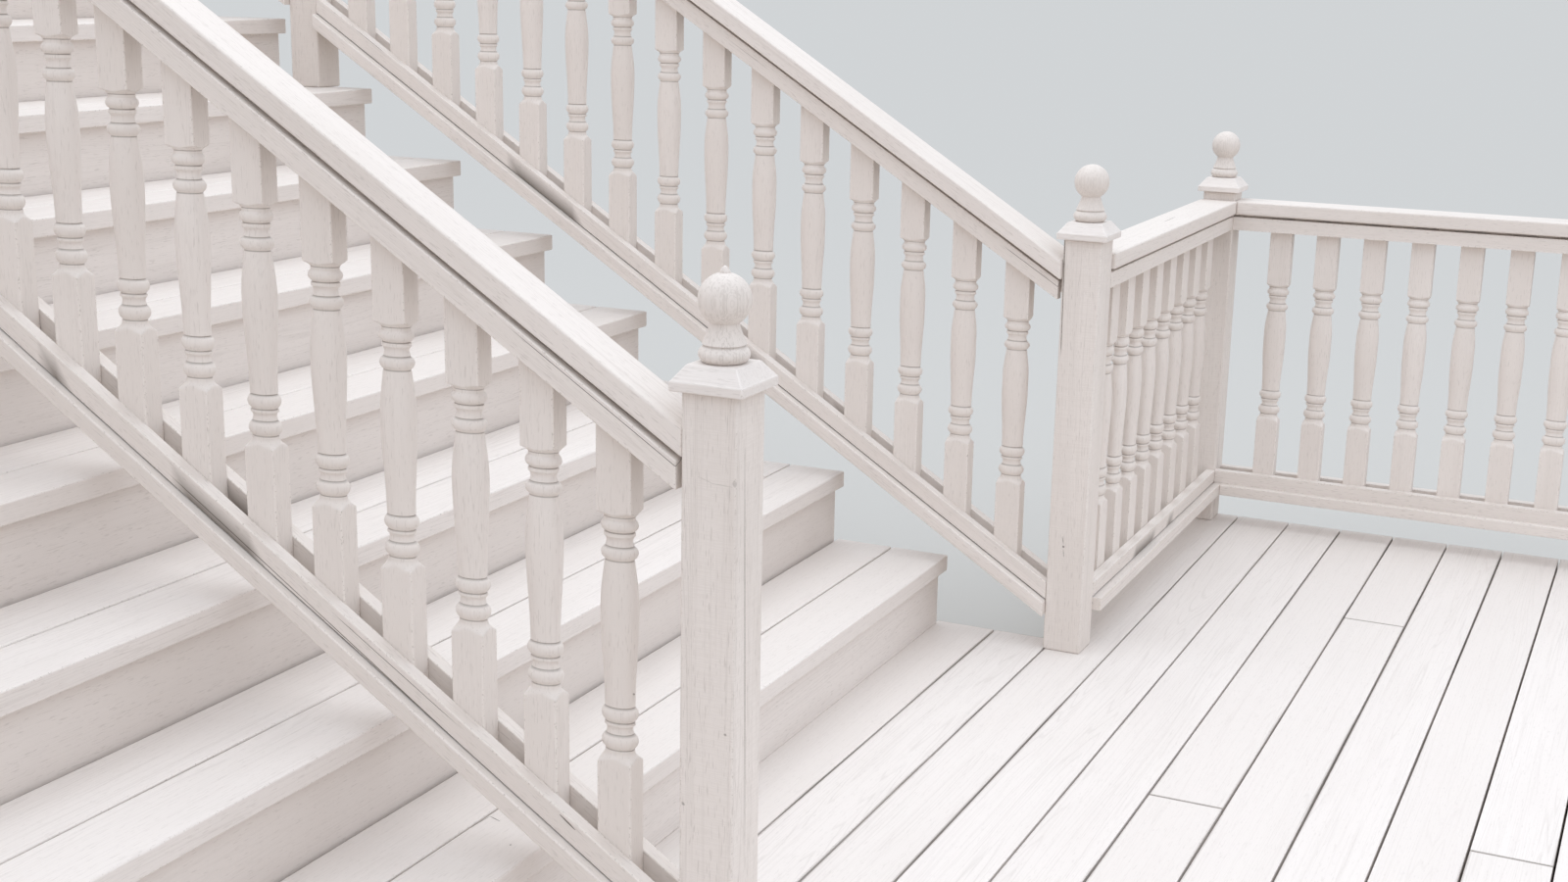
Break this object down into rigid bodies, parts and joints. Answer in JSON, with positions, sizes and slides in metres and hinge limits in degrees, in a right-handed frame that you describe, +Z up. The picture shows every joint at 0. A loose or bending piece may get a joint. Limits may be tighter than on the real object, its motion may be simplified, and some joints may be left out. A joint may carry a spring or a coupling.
{
  "type": "wooden deck stairs",
  "caption": "Wide painted timber flight with closed risers, turned balusters and ball-topped posts, coming down onto a low L-shaped deck.",
  "frame": {"origin": "middle of the footprint, on the ground", "axes": "+X down the flight towards the deck, +Y along the treads towards the side where the deck reaches past the flight, +Z up"},
  "size_m": [6.1118, 4.994, 3.8078],
  "materials": {
    "tread_paint": "worn pale paint on grained boards",
    "rail_paint": "satin pale paint, with grain and cracks showing",
    "frame_wood": "plain treated timber"
  },
  "bodies": {
    "root": {"tread_01": "tread_paint", "tread_02": "tread_paint", "tread_03": "tread_paint", "tread_04": "tread_paint", "tread_05": "tread_paint", "tread_06": "tread_paint", "tread_07": "tread_paint", "tread_08": "tread_paint", "tread_09": "tread_paint", "tread_10": "tread_paint", "tread_11": "tread_paint", "tread_12": "tread_paint", "tread_13": "tread_paint", "tread_14": "tread_paint", "riser_boards": "tread_paint", "deck_boards_main": "tread_paint", "deck_boards_foot": "tread_paint", "far_handrail": "rail_paint", "far_side_boards": "rail_paint", "far_bottom_rail": "rail_paint", "far_balusters": "rail_paint", "middle_handrail": "rail_paint", "middle_side_boards": "rail_paint", "middle_bottom_rail": "rail_paint", "middle_balusters": "rail_paint", "near_handrail": "rail_paint", "near_side_boards": "rail_paint", "near_bottom_rail": "rail_paint", "near_balusters": "rail_paint", "return_handrail": "rail_paint", "return_side_boards": "rail_paint", "return_bottom_rail": "rail_paint", "return_balusters": "rail_paint", "deck_handrail": "rail_paint", "deck_side_boards": "rail_paint", "deck_bottom_rail": "rail_paint", "deck_balusters": "rail_paint", "far_posts": "rail_paint", "middle_posts": "rail_paint", "near_posts": "rail_paint", "deck_posts": "rail_paint", "post_caps": "rail_paint", "ball_finials": "rail_paint", "stringers": "frame_wood", "middle_legs": "frame_wood", "top_legs": "frame_wood", "deck_joists_long": "frame_wood", "deck_joists_short": "frame_wood", "deck_rims": "frame_wood"}
  },
  "joints": []
}
